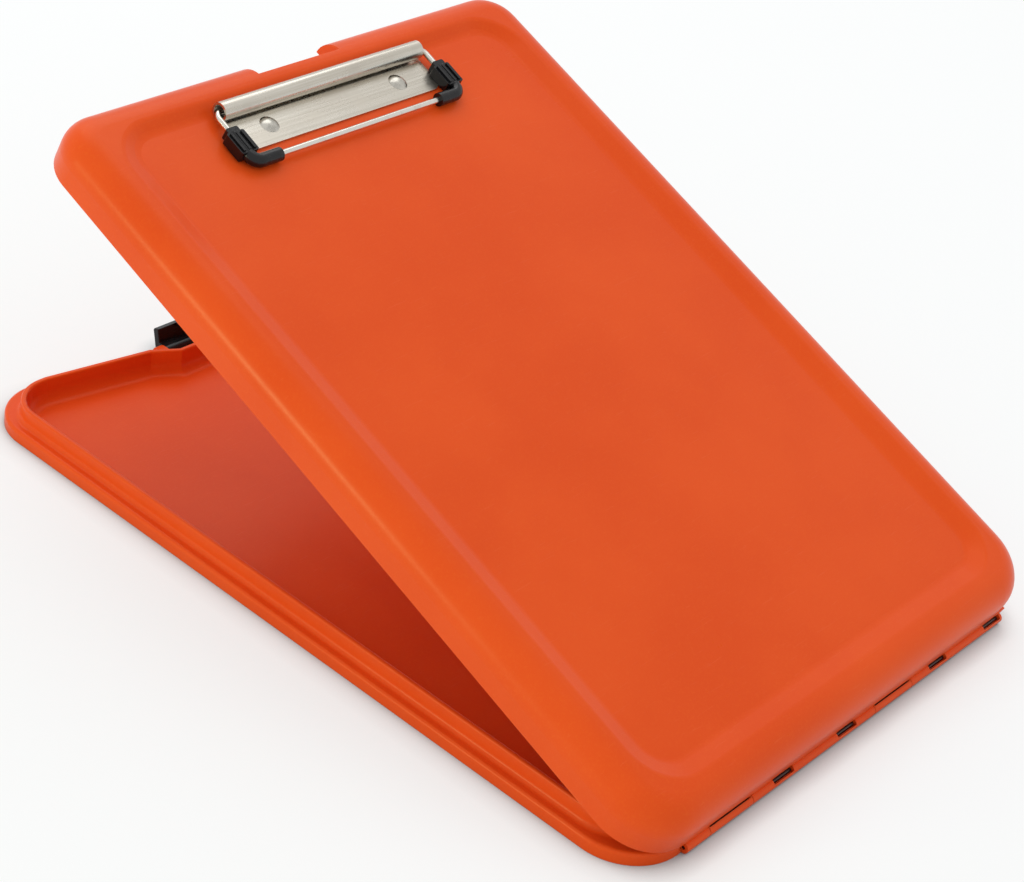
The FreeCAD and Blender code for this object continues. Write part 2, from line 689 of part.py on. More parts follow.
def cut_latch_channel(lid):
    """Cuts the notch in the back crest, the channel for the latch bar and the catch ledge."""
    x = d.latch_offset
    rise = d.recess_depth + d.overrun
    flare = d.notch_flare * rise / d.recess_depth
    notch = [(x - d.notch_half, panel_top, None), (x + d.notch_half, panel_top, None),
             (x + d.notch_half + flare, panel_top + rise, None),
             (x - d.notch_half - flare, panel_top + rise, None)]
    front = half_length - d.panel_back_inset - d.panel_rounding
    lid.cut(PLANE_FRONT, -(half_length + d.overrun), half_length + d.overrun - front, notch, flip=False)
    end = half_length + d.overrun
    above, soft = d.box_height + d.overrun, d.notch_rounding
    edge = half_length - d.lip_inset
    lip = [(edge, d.catch_height, None), (end, d.catch_height, None), (end, above, None),
           (edge - soft, above, None), (edge - soft, panel_top, -soft), (edge, panel_top - soft, None)]
    lid.cut(PLANE_SIDE, x - d.notch_half, d.notch_half * 2, lip, flip=True)
    face = half_length - d.channel_depth
    bar_top = d.latch_axis_height + d.latch_top + d.channel_headroom
    lid.cut(PLANE_TOP, d.catch_height, bar_top - d.catch_height,
            square(x - d.notch_half, x + d.notch_half, face - d.catch_depth, end), flip=True)
    low = lid_rim - d.overrun
    lid.cut(PLANE_TOP, low, bar_top - low, square(x - bay_half, x + bay_half, face, end), flip=True)
    reach = bay_flat
    lid.cut(PLANE_TOP, low, d.bay_rim_height - low, square(x - reach, x + reach, bay_face, end), flip=True)


def make_barrel(lid):
    """Hinge barrel along the lid's front wall, with gaps for the tray's knuckles and shut-off windows."""
    left, right = -barrel_left, barrel_right
    lid.pad(PLANE_SIDE, left, right - left, barrel_profile(lid_rim + d.wall))
    gap = knuckle_length / 2 + d.knuckle_gap
    front, back = hinge_y - d.barrel_radius - d.overrun, wall_inside + d.seat_gap
    slots = []
    for index in range(2):
        middle = knuckle_pitch * index - knuckle_start
        slots.append(square(middle - gap, middle + gap, front, back))
    lid.cut(PLANE_TOP, -d.overrun, lid_rim + d.overrun, *slots, flip=True)
    cut_windows(lid)
    bore = lid.sketch(PLANE_SIDE, left - d.overrun)
    bore.circle(hinge_y, hinge_z, bore_radius)
    lid.extrude("Pocket", bore, right - left + d.overrun - d.barrel_end_wall, True)


def cut_windows(lid):
    """Shut-off windows down to the pin: from above at both ends of each lid knuckle, from below between."""
    half = window_length / 2
    front, back = hinge_y - d.window_front, wall_inside + d.seat_gap
    above, below = [], []
    for index in range(2):
        middle = lid_knuckle + knuckle_pitch * index
        below.append(square(middle - half, middle + half, front, hinge_y + d.window_front))
        for side in (-1, 1):
            at = middle + window_reach * side
            above.append(rounded(at - half, at + half, front, back, d.window_corner))
    lid.cut(PLANE_TOP, hinge_z, lid_rim - hinge_z, *above, flip=True)
    lid.cut(PLANE_TOP, -d.overrun, hinge_z + d.overrun, *below, flip=True)


def drill_rivets(lid):
    """Two rivet holes through the writing panel."""
    holes = lid.sketch(PLANE_TOP, panel_under - d.overrun)
    for side in (-1, 1):
        holes.circle(d.clip_offset + rivet_spread * side, half_length - d.clip_inset - d.rivet_set,
                     d.rivet_shank + d.rivet_play)
    lid.extrude("Pocket", holes, d.wall + d.overrun * 2, True)


def make_hinge_pin():
    """Straight steel pin through all the knuckles."""
    pin = doc.addObject("Part::Cylinder", "hinge_pin")
    bind(pin, "Radius", d.pin_diameter / 2)
    bind(pin, "Height", barrel_left + barrel_right - d.pin_recess - d.barrel_end_wall - d.seat_gap)
    lie_along_x(pin, (d.pin_recess - barrel_left, hinge_y, hinge_z))
    return pin


def make_latch_pin():
    """Steel pin through the latch hub and both lugs."""
    pin = doc.addObject("Part::Cylinder", "latch_pin")
    bind(pin, "Radius", d.latch_pin_diameter / 2)
    reach = lug_half - d.lug_skin * 2
    bind(pin, "Height", reach * 2)
    lie_along_x(pin, (d.latch_offset - reach, latch_y, d.latch_axis_height))
    return pin


def lie_along_x(pin, base):
    """Turns an upright cylinder along X and starts it at a point."""
    pin.Placement = FreeCAD.Placement(Vector(*[b.value for b in base]), FreeCAD.Rotation(Vector(0, 1, 0), 90))
    for axis, size in zip("xyz", base):
        bind(pin, "Placement.Base." + axis, size)


def make_latch():
    """Latch bar drawn about its pin: hub, bar, and the nose that hooks over the lid's catch."""
    latch = Piece("latch")
    half = d.latch_width / 2
    inner = d.latch_axis_inset - d.channel_depth + d.latch_face_gap
    outer = inner + d.latch_plate
    hub = latch.sketch(PLANE_SIDE, -half)
    hub.circle(ZERO, ZERO, d.hub_radius)
    latch.extrude("Pad", hub, d.latch_width, False)
    bar = [(ZERO, -d.hub_radius, None), (outer, d.latch_heel, None), (outer, d.latch_top, None),
           (inner, d.latch_top, None), (inner, d.hub_radius + d.latch_heel, None), (ZERO, d.hub_radius, None)]
    latch.pad(PLANE_SIDE, -half, d.latch_width, bar)
    under = d.latch_top - d.nose_height
    nose = [(inner + d.latch_plate / 2, under, None), (inner + d.latch_plate / 2, d.latch_top, None),
            (inner, d.latch_top, None), (inner - d.nose_reach, d.latch_top - d.nose_lead, None),
            (inner - d.nose_reach, under, None)]
    latch.pad(PLANE_SIDE, -d.nose_width / 2, d.nose_width, nose)
    crown = latch.edges(lambda p: near(p.y, outer.value) and near(p.z, d.latch_top.value))
    latch.soften("Fillet", crown, d.latch_rounding)
    ends = latch.edges(lambda p: near(abs(p.x), half.value) and p.y > inner.value - d.seat_gap.value
                       and p.z > d.hub_radius.value)
    latch.soften("Fillet", ends, d.latch_rounding / 2)
    hole = latch.sketch(PLANE_SIDE, -(half + d.overrun))
    hole.circle(ZERO, ZERO, d.latch_pin_diameter / 2 + d.pin_play)
    latch.extrude("Pocket", hole, (half + d.overrun) * 2, True)
    place(latch.body, (d.latch_offset, latch_y, d.latch_axis_height), -d.latch_lean)
    return latch


def tube_point(radius, angle, bend):
    """Point on the tube at an angle, with the arc that leaves it."""
    return (radius * cosine(angle), radius * sine(angle), bend)


def make_clip_plate():
    """Steel sheet rolled into a tube at its back edge, drawn about the tube's axis."""
    plate = Piece("clip_plate")
    outer, inner = d.tube_radius, d.tube_radius - d.sheet_thickness
    back, up, down = Size.of(0), Size.of(90), Size.of(-90)
    loop = [(-d.plate_reach, -outer, None), tube_point(outer, down, outer), tube_point(outer, back, outer),
            tube_point(outer, up, outer), tube_point(outer, d.roll_end, None),
            tube_point(inner, d.roll_end, -inner),
            tube_point(inner, up, -inner), tube_point(inner, back, -inner), tube_point(inner, down, None),
            (-d.plate_reach, -inner, None)]
    plate.pad(PLANE_SIDE, -d.tube_length / 2, d.tube_length, loop)
    reach, half = d.plate_reach.value, d.tube_length.value / 2
    corners = plate.edges(lambda p: near(p.y, -reach) and near(abs(p.x), half))
    plate.soften("Fillet", corners, d.plate_corner)
    holes = plate.sketch(PLANE_TOP, -(outer + d.overrun))
    for side in (-1, 1):
        holes.circle(rivet_spread * side, -d.rivet_set, d.rivet_shank + d.rivet_play)
    plate.extrude("Pocket", holes, d.sheet_thickness + d.overrun * 2, True)
    turn_with_lid(plate.body, d.clip_offset, half_length - d.clip_inset, panel_top + d.tube_radius, ZERO)
    return plate


def bail_tilt():
    """Angle that lays the grips on the panel."""
    drop = (d.tube_radius - d.grip_radius - d.seat_gap) / d.bail_arm
    return Size(math.degrees(math.asin(drop.value)), "(asin(%s) / 1 deg)" % drop.text)


def ride_on_bail(thing):
    """Places a piece that is drawn about the bail's axis."""
    turn_with_lid(thing, d.clip_offset, half_length - d.clip_inset, panel_top + d.tube_radius, bail_tilt())


def make_bail():
    """Spring-steel wire: a tail in each end of the tube, two arms and the crossbar."""
    bail = Piece("bail_wire")
    x, y, r = bail_half, -d.bail_arm, d.bail_bend
    path = bail.sketch(PLANE_TOP)
    path.path([(-bail_tail, ZERO, None), (r - x, ZERO, r), (-x, -r, None), (-x, y + r, r), (r - x, y, None),
               (x - r, y, r), (x, y + r, None), (x, -r, r), (x - r, ZERO, None), (bail_tail, ZERO, None)])
    section = bail.sketch(PLANE_SIDE, -bail_tail)
    section.circle(ZERO, ZERO, d.wire_radius)
    bail.pipe("AdditivePipe", section, path)
    ride_on_bail(bail.body)
    return bail


def make_grip(label, side):
    """Moulded corner grip: a sleeve bent round the wire's corner and a ribbed thumb pad on the arm."""
    grip = Piece(label)
    x, y, r = bail_half * side, -d.bail_arm, d.bail_bend
    foot = x - d.grip_foot * side
    turn = r * -side
    bent = [(x, -(d.grip_top + d.grip_cap), None), (x, y + r, turn), (x - r * side, y, None), (foot, y, None)]
    path = grip.sketch(PLANE_TOP)
    path.path(bent)
    section = grip.sketch(PLANE_FRONT, d.grip_top + d.grip_cap)
    section.circle(x, ZERO, d.grip_radius)
    grip.pipe("AdditivePipe", section, path)
    half = d.grip_block_half
    thick = d.grip_block_thickness
    low, high = y + r, -(d.grip_top + d.grip_cap)
    grip.pad(PLANE_TOP, -thick / 2, thick, rounded(x - half, x + half, low, high, d.grip_edge))
    cap = d.grip_cap_half
    cap_share = 0.8
    collar = d.grip_radius * cap_share
    grip.pad(PLANE_TOP, -collar, collar * 2,
             rounded(x - cap, x + cap, high - d.grip_edge, -d.grip_top, d.grip_edge))
    ribs = []
    for place_in_row in (-1, 0, 1):
        middle = x + d.grip_rib_pitch * place_in_row
        ribs.append(square(middle - d.grip_rib_half, middle + d.grip_rib_half,
                           low + d.grip_edge, high - d.grip_edge))
    grip.pad(PLANE_TOP, thick / 2 - d.grip_edge, d.grip_rib_height + d.grip_edge, *ribs)
    bore_path = grip.sketch(PLANE_TOP)
    bore_path.path([(x, ZERO, None), (x, y + r, turn), (x - r * side, y, None),
                    (foot - d.overrun * side, y, None)])
    bore = grip.sketch(PLANE_FRONT)
    bore.circle(x, ZERO, d.wire_radius + d.grip_play)
    grip.pipe("SubtractivePipe", bore, bore_path)
    ride_on_bail(grip.body)
    return grip


def make_rivets():
    """Two rivets as one group: domed head on the plate, shank through plate and panel, closed end below."""
    rivets = []
    for number, side in enumerate((-1, 1), 1):
        half = Sketch(doc.addObject("Sketcher::SketchObject", "rivet_profile_%d" % number))
        shank, head, tail = d.rivet_shank, d.rivet_head, d.rivet_tail
        seat = d.sheet_thickness + d.rivet_gap
        under = -(d.wall + d.washer_thickness + d.rivet_gap * 2)
        crown = d.rivet_head_height
        dome = (head * head + crown * crown) / (crown * 2)
        half.path([(ZERO, under - d.rivet_tail_height, None), (tail, under - d.rivet_tail_height, None),
                   (tail, under, None), (shank, under, None), (shank, seat, None), (head, seat, dome),
                   (ZERO, seat + crown, None)], closed=True)
        rivet = doc.addObject("Part::Revolution", "rivet_%d" % number)
        rivet.Source = half.sketch
        rivet.Axis = Vector(0, 1, 0)
        rivet.Angle = 360
        rivet.Solid = True
        rivets.append(stand_up(rivet, side))
    return group("clip_rivets", rivets)


def make_washers():
    """Two backing washers under the panel as one group."""
    washers = []
    for number, side in enumerate((-1, 1), 1):
        disc = doc.addObject("Part::Cylinder", "washer_disc_%d" % number)
        bind(disc, "Radius", d.washer_radius)
        bind(disc, "Height", d.washer_thickness)
        hole = doc.addObject("Part::Cylinder", "washer_hole_%d" % number)
        bind(hole, "Radius", d.rivet_shank + d.rivet_play)
        bind(hole, "Height", d.washer_thickness + d.overrun * 2)
        bind(hole, "Placement.Base.z", -d.overrun)
        ring = doc.addObject("Part::Cut", "washer_%d" % number)
        ring.Base = disc
        ring.Tool = hole
        bind(ring, "Placement.Base.x", rivet_spread * side)
        bind(ring, "Placement.Base.y", -d.rivet_set)
        bind(ring, "Placement.Base.z", -(d.wall + d.washer_thickness + d.rivet_gap))
        washers.append(ring)
    return group("rivet_washers", washers)


def stand_up(rivet, side):
    """Stands a revolved rivet upright at its hole."""
    rivet.Placement = FreeCAD.Placement(Vector(0, 0, 0), FreeCAD.Rotation(Vector(1, 0, 0), 90))
    bind(rivet, "Placement.Base.x", rivet_spread * side)
    bind(rivet, "Placement.Base.y", -d.rivet_set)
    return rivet


def group(label, solids):
    """Joins like fasteners into one node, placed on the panel under the clip."""
    joined = doc.addObject("Part::Compound", label)
    joined.Links = solids
    turn_with_lid(joined, d.clip_offset, half_length - d.clip_inset, panel_top, ZERO)
    return joined


def make_spring(label, side):
    """Torsion spring round a tail of the bail, inside the tube, drawn as the sleeve that its coil fills."""
    drawn = []
    for name, radius, extra in (("coil", d.spring_outer, ZERO), ("core", d.spring_inner, d.overrun)):
        rod = doc.addObject("Part::Cylinder", "%s_%s" % (label, name))
        bind(rod, "Radius", radius)
        bind(rod, "Height", d.spring_length + extra * 2)
        bind(rod, "Placement.Base.z", -extra)
        drawn.append(rod)
    spring = doc.addObject("Part::Cut", label)
    spring.Base, spring.Tool = drawn
    start = spring_end * side
    if side > 0:
        start = start - d.spring_length
    y, z = opened(half_length - d.clip_inset, panel_top + d.tube_radius)
    lie_along_x(spring, (d.clip_offset + start, y, z))
    return spring


nodes = [make_tray(), make_lid(), make_hinge_pin(), make_latch(), make_latch_pin(), make_clip_plate(),
         make_rivets(), make_washers(), make_bail(), make_grip("left_grip", -1), make_grip("right_grip", 1),
         make_spring("left_spring", -1), make_spring("right_spring", 1)]
doc.recompute()

faults = [o.Label for o in doc.Objects if "Invalid" in o.State or "Error" in o.State]
if faults:
    raise RuntimeError("these objects failed: " + ", ".join(faults))

os.makedirs("parts", exist_ok=True)
for node in nodes:
    thing = node.body if isinstance(node, Piece) else node
    shape = thing.Shape
    if shape.isNull() or not shape.isValid():
        raise RuntimeError("no sound shape: " + thing.Label)
    print(thing.Label, len(shape.Solids), "solid", round(shape.Volume, 1), "mm3")
    shape.exportStep("parts/%s.step" % thing.Label)
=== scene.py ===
"""Looks of the storage clipboard box: its finishes, the wound springs inside the clip's tube, the pale
studio and the camera. Everything is in metres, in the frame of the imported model."""

import math

import bpy
import numpy as np
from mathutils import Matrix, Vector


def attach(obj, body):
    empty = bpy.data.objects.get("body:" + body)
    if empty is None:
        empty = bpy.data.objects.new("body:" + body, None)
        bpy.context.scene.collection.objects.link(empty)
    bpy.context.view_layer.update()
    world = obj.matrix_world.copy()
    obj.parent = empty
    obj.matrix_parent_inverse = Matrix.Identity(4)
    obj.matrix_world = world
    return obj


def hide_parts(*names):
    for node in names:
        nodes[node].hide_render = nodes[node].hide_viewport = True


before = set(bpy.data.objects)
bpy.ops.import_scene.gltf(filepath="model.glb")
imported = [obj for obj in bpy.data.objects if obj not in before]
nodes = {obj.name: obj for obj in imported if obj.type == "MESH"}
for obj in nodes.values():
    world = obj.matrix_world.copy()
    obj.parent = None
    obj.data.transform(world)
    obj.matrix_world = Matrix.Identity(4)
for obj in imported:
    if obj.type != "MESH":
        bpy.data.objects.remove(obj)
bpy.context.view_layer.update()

LID_ANGLE = math.radians(21.2)
HINGE_Y, HINGE_Z = -0.1672, 0.0022
BAIL_AXIS = np.array([-0.0026, 0.116772, 0.137551])
SPRING_OUTER_END = 0.0504
SPRING_LENGTH = 0.012
COIL_RADIUS = 0.00198
COIL_WIRE = 0.0004


class Signal:
    """A node's output. Sums, products and comparisons of it add the nodes that they need."""

    def __init__(self, graph, socket):
        self.graph = graph
        self.socket = socket

    def sibling(self, output):
        """Another output of the same node."""
        return Signal(self.graph, self.socket.node.outputs[output])

    def math(self, operation, *others):
        """A Math node with this signal first and the others after it."""
        values = dict(enumerate((self,) + others))
        return self.graph.node("ShaderNodeMath", {"operation": operation}, values)

    def __add__(self, other):
        return self.math("ADD", other)

    def __sub__(self, other):
        return self.math("SUBTRACT", other)

    def __mul__(self, other):
        return self.math("MULTIPLY", other)

    def __rsub__(self, other):
        return self.graph.node("ShaderNodeMath", {"operation": "SUBTRACT"}, {0: other, 1: self})

    __radd__ = __add__
    __rmul__ = __mul__

    def above(self, low, high):
        """0 below low, 1 above high, and a smooth rise between them."""
        settings = {"interpolation_type": "SMOOTHSTEP", "clamp": True}
        return self.graph.node("ShaderNodeMapRange", settings,
                               {"Value": self, "From Min": low, "From Max": high}, "Result")

    def inside(self, low, high, soft):
        """1 between low and high, with soft ends."""
        return self.above(low - soft, low + soft) * (1.0 - self.above(high - soft, high + soft))


class Graph:
    """The node tree of a material or of the world, emptied at first."""

    def __init__(self, owner):
        owner.use_nodes = True
        self.tree = owner.node_tree
        self.tree.nodes.clear()

    def node(self, kind, settings, values, output=0):
        """Adds a node: its settings first, then the numbers, colours or links of its sockets."""
        made = self.tree.nodes.new(kind)
        for name, setting in settings.items():
            setattr(made, name, setting)
        for name, value in values.items():
            socket = made.inputs[name]
            if isinstance(value, Signal):
                self.tree.links.new(value.socket, socket)
            elif hasattr(socket.default_value, "__len__"):
                wanted = len(socket.default_value)
                socket.default_value = (tuple(value) + (1.0,))[:wanted]
            else:
                socket.default_value = value
        return Signal(self, made.outputs[output])

    def show(self, shader, kind="ShaderNodeOutputMaterial"):
        """Adds the output node and feeds a shader to it."""
        output = self.tree.nodes.new(kind)
        self.tree.links.new(shader.socket, output.inputs["Surface"])


class Finish(Graph):
    """One material round a Principled shader, built node by node on the object's own coordinates."""

    def __init__(self, name, colour, roughness, **fixed):
        self.material = bpy.data.materials.new(name)
        self.material.diffuse_color = (*colour, 1.0)
        super().__init__(self.material)
        values = {"Base Color": colour, "Roughness": roughness}
        values.update((key.replace("_", " "), value) for key, value in fixed.items())
        shader = self.node("ShaderNodeBsdfPrincipled", {}, values, "BSDF")
        self.shader = shader.socket.node
        self.show(shader)
        self.place = self.node("ShaderNodeTexCoord", {}, {}, "Object")
        first_axis = self.node("ShaderNodeSeparateXYZ", {}, {"Vector": self.place}, "X")
        self.axes = [first_axis, first_axis.sibling("Y"), first_axis.sibling("Z")]

    def link(self, signal, name):
        """Feeds a socket of the material's shader."""
        self.tree.links.new(signal.socket, self.shader.inputs[name])

    def noise(self, scale, detail=3.0, roughness=0.5, vector=None, distortion=0.0):
        """Cloudy noise from 0 to 1; scale in features per metre."""
        return self.node("ShaderNodeTexNoise", {"noise_dimensions": "3D"},
                         {"Vector": vector or self.place, "Scale": scale, "Detail": detail,
                          "Roughness": roughness, "Distortion": distortion}, "Fac")

    def cells(self, scale):
        """Distance to the nearest of scattered points; scale in points per metre."""
        return self.node("ShaderNodeTexVoronoi", {"feature": "F1"},
                         {"Vector": self.place, "Scale": scale}, "Distance")

    def stretched(self, x, y, z, turn=0.0):
        """The object's coordinates turned about X, then stretched along each axis."""
        settings = {"vector_type": "POINT"}
        return self.node("ShaderNodeMapping", settings,
                         {"Vector": self.place, "Rotation": (turn, 0.0, 0.0), "Scale": (x, y, z)}, "Vector")

    def blend(self, factor, low, high):
        """Mixes two colours."""
        settings = {"data_type": "RGBA", "clamp_factor": True}
        return self.node("ShaderNodeMix", settings, {0: factor, 6: low, 7: high}, 2)

    def bump(self, height, depth, strength=1.0, normal=None):
        """Raises the surface by a height signal; depth in metres for a signal of 1."""
        values = {"Height": height, "Distance": depth, "Strength": strength}
        if normal is not None:
            values["Normal"] = normal
        return self.node("ShaderNodeBump", {}, values, "Normal")


def edge_mask(finish, radius):
    """1 along outside edges and tight roundings: how far a rounded normal leans from the surface's own."""
    rounded = finish.node("ShaderNodeBevel", {"samples": 4}, {"Radius": radius}, "Normal")
    own = finish.node("ShaderNodeNewGeometry", {}, {}, "Normal")
    lean = finish.node("ShaderNodeVectorMath", {"operation": "DOT_PRODUCT"}, {0: rounded, 1: own}, "Value")
    return 1.0 - lean.above(0.80, 0.995)


def lid_frame(finish):
    """Length and height of a point in the closed lid's own frame: the point turned back about the hinge."""
    y, z = finish.axes[1] - HINGE_Y, finish.axes[2] - HINGE_Z
    c, s = math.cos(LID_ANGLE), math.sin(LID_ANGLE)
    return y * c + z * s + HINGE_Y, z * c - y * s + HINGE_Z


def ejector_rings(x, y, pitch_x, pitch_y, radius):
    """Rings that a mould's round ejector pins leave, one in each cell of a grid: distance from the cell's
    middle, within 0.15 mm of the ring's radius. The coordinates are moved on by 20 cells and a half, so that
    the remainders are those of positive numbers."""
    shift, half_width, soft = 20.5, 0.00015, 0.00012
    dx = (x + pitch_x * shift).math("MODULO", pitch_x) - pitch_x / 2
    dy = (y + pitch_y * shift).math("MODULO", pitch_y) - pitch_y / 2
    distance = (dx * dx + dy * dy).math("SQRT")
    return distance.inside(radius - half_width, radius + half_width, soft)


def moulded_orange(name, tilted):
    """Orange moulded plastic: satin spark grain, flow clouding, scuffs and hairlines from use, edges rubbed
    glossy, a paler orange along the edges that is partly wear and partly a painted highlight on the
    roundings, and the rings of the ejector pins on the hidden side."""
    finish = Finish(name, (0.80, 0.085, 0.011), 0.31, IOR=1.29, Specular_IOR_Level=0.5,
                    Specular_Tint=(1.0, 0.76, 0.48, 1.0))
    x = finish.axes[0]
    y, z = lid_frame(finish) if tilted else finish.axes[1:]
    turn = -LID_ANGLE if tilted else 0.0
    cloud = finish.noise(14.0, 4.0, 0.55)
    speck = finish.noise(900.0, 2.0, 0.6)
    grain = finish.noise(2600.0, 2.0, 0.6)
    scuff = finish.noise(9.0, 6.0, 0.7, finish.stretched(60.0, 9.0, 60.0, turn)).above(0.60, 0.74)
    hairs = finish.noise(11.0, 3.0, 0.6, finish.stretched(8.0, 150.0, 60.0, turn), 0.6).above(0.655, 0.70)
    # Paler orange along edges and tight roundings: partly rubbed wear, partly a painted highlight where the
    # roundings catch the light.
    rubbed_and_highlight = edge_mask(finish, 0.0012) * finish.noise(70.0, 4.0, 0.6).above(0.35, 0.65)
    hidden = z.inside(0.0188, 0.0202, 0.0002) if tilted else z.inside(-0.001, 0.0004, 0.0002)
    rings = ejector_rings(x, y, 0.062, 0.078, 0.0032) * hidden
    base = finish.blend(cloud.above(0.30, 0.72), (0.78, 0.075, 0.009), (0.83, 0.090, 0.012))
    base = finish.blend(speck.above(0.45, 0.8) * 0.25, base, (0.84, 0.13, 0.015))
    # Scuffs and hairlines are wear; the edge share of the paler orange is partly wear and partly painted
    # highlight.
    base = finish.blend(scuff * 0.08 + hairs * 0.10 + rubbed_and_highlight * 0.22, base, (0.90, 0.22, 0.08))
    finish.link(base, "Base Color")
    worn = scuff * 0.08 + hairs * 0.06 - rubbed_and_highlight * 0.08
    finish.link(0.275 + cloud * 0.06 - speck * 0.03 + worn, "Roughness")
    fine = finish.bump(grain + speck * 0.6 + scuff * 0.3, 0.00003, 0.45)
    finish.link(finish.bump(rings - hairs * 0.3, 0.00008, 0.6, fine), "Normal")
    return finish


def black_latch():
    """Glossy black moulded bar with hairline scratches and a bloom of fingerprints."""
    finish = Finish("black_latch_gloss", (0.006, 0.006, 0.007), 0.20, Specular_IOR_Level=0.28)
    smear = finish.noise(120.0, 4.0, 0.6)
    hairs = finish.noise(40.0, 5.0, 0.7, finish.stretched(4.0, 90.0, 90.0)).above(0.58, 0.70)
    worn = hairs * 0.25 + smear * 0.12
    finish.link(finish.blend(worn, (0.005, 0.005, 0.006), (0.045, 0.045, 0.05)), "Base Color")
    finish.link(0.18 + smear * 0.12 + hairs * 0.15, "Roughness")
    finish.link(finish.bump(finish.noise(2200.0, 2.0) + hairs, 0.00002, 0.4), "Normal")
    return finish


def black_grip():
    """Satin black moulded grip with a fine leather-like spark grain and paler rubbed spots."""
    finish = Finish("black_grip_satin", (0.006, 0.006, 0.007), 0.30, Specular_IOR_Level=0.4)
    grain = finish.cells(1500.0)
    rub = finish.noise(260.0, 4.0, 0.6).above(0.52, 0.75)
    finish.link(finish.blend(rub * 0.4, (0.005, 0.005, 0.006), (0.024, 0.024, 0.026)), "Base Color")
    finish.link(0.26 + rub * 0.14 - grain * 0.06, "Roughness")
    finish.link(finish.bump(grain, 0.00005, 0.5), "Normal")
    return finish


def nickel_sheet():
    """Satin nickel plate over rolled sheet: lengthwise roll lines, soft wavy bands and a few dull specks."""
    finish = Finish("nickel_sheet", (0.78, 0.74, 0.66), 0.24, Metallic=1.0)
    lines = finish.noise(1.0, 6.0, 0.65, finish.stretched(9.0, 900.0, 900.0))
    wave = finish.noise(1.0, 2.0, 0.5, finish.stretched(16.0, 140.0, 140.0))
    haze = finish.noise(60.0, 4.0, 0.6).above(0.4, 0.7)
    speck = 1.0 - finish.cells(420.0).above(0.02, 0.16)
    tone = finish.blend(lines.above(0.3, 0.7), (0.60, 0.56, 0.48), (0.78, 0.74, 0.66))
    tone = finish.blend(wave.above(0.35, 0.65) * 0.45, tone, (0.58, 0.53, 0.45))
    tone = finish.blend(speck * 0.4 + haze * 0.15, tone, (0.36, 0.31, 0.25))
    finish.link(tone, "Base Color")
    finish.link(0.20 + lines * 0.10 + haze * 0.08 + speck * 0.2, "Roughness")
    finish.link(finish.bump(lines * 0.3 + wave, 0.00009, 0.5), "Normal")
    return finish


def nickel_wire():
    """Bright drawn wire: die lines along it and small rubbed patches."""
    finish = Finish("nickel_wire", (0.74, 0.71, 0.64), 0.17, Metallic=1.0)
    lines = finish.noise(1.0, 5.0, 0.6, finish.stretched(14.0, 1500.0, 1500.0))
    rub = finish.noise(240.0, 3.0, 0.6).above(0.5, 0.72)
    finish.link(finish.blend(rub * 0.5, (0.78, 0.75, 0.68), (0.54, 0.50, 0.44)), "Base Color")
    finish.link(0.13 + lines * 0.1 + rub * 0.1, "Roughness")
    finish.link(finish.bump(lines, 0.00003, 0.4), "Normal")
    return finish


def drawn_steel(name, colour, roughness):
    """Plain drawn steel rod: die lines along X, a film of oil and faint rust-brown spots."""
    finish = Finish(name, colour, roughness, Metallic=1.0)
    lines = finish.noise(1.0, 5.0, 0.6, finish.stretched(20.0, 2400.0, 2400.0))
    spot = finish.noise(520.0, 3.0, 0.6).above(0.62, 0.8)
    dark = tuple(0.62 * v for v in colour)
    tone = finish.blend(lines.above(0.3, 0.7), dark, colour)
    finish.link(finish.blend(spot * 0.45, tone, (0.20, 0.13, 0.09)), "Base Color")
    finish.link(roughness + lines * 0.12 + spot * 0.2, "Roughness")
    finish.link(finish.bump(lines, 0.00003, 0.5), "Normal")
    return finish


def plated_fastener(name, warm):
    """Plated small parts: stamping haze, tiny pits and a slightly warmer or cooler plate."""
    finish = Finish(name, warm, 0.24, Metallic=1.0)
    haze = finish.noise(330.0, 4.0, 0.6)
    pit = finish.cells(1300.0).above(0.05, 0.2)
    dull = tuple(0.7 * v for v in warm)
    finish.link(finish.blend(haze.above(0.35, 0.7), dull, warm), "Base Color")
    finish.link(0.18 + haze * 0.2 + (1.0 - pit) * 0.2, "Roughness")
    finish.link(finish.bump(pit + haze, 0.00003, 0.5), "Normal")
    return finish


def dress(node, finish):
    """Gives a carried-over node its finish."""
    mesh = nodes[node].data
    if mesh.materials:
        for index in range(len(mesh.materials)):
            mesh.materials[index] = finish.material
    else:
        mesh.materials.append(finish.material)


def tube(name, line, radius, sides=14):
    """Round wire along a line: each ring is centre + radius * (side * cos v + up * sin v), where side and
    up are square to the line and to each other; both ends are closed by a small dome."""
    dome_rings, tip_share = 4, 0.02
    slanted = (0.31, 0.62, 0.72)
    line = np.asarray(line, float)
    along = np.gradient(line, axis=0)
    along /= np.linalg.norm(along, axis=1)[:, None]
    side = np.cross(along, slanted)
    side /= np.linalg.norm(side, axis=1)[:, None]
    up = np.cross(along, side)
    dome = np.linspace(0.0, math.pi / 2, dome_rings)
    rise, reach = np.sin(dome), np.cos(dome)
    centre = np.concatenate([line[:1] - along[:1] * radius * reach[:, None], line,
                             line[-1:] + along[-1:] * radius * reach[::-1, None]])
    size = radius * np.concatenate([rise, np.ones(len(line)), rise[::-1]])
    size = np.maximum(size, radius * tip_share)
    side = np.concatenate([np.repeat(side[:1], dome_rings, 0), side, np.repeat(side[-1:], dome_rings, 0)])
    up = np.concatenate([np.repeat(up[:1], dome_rings, 0), up, np.repeat(up[-1:], dome_rings, 0)])
    v = np.linspace(0.0, 2 * math.pi, sides, endpoint=False)
    rings = (centre[:, None] + size[:, None, None]
             * (side[:, None] * np.cos(v)[None, :, None] + up[:, None] * np.sin(v)[None, :, None]))
    return skin(name, rings)


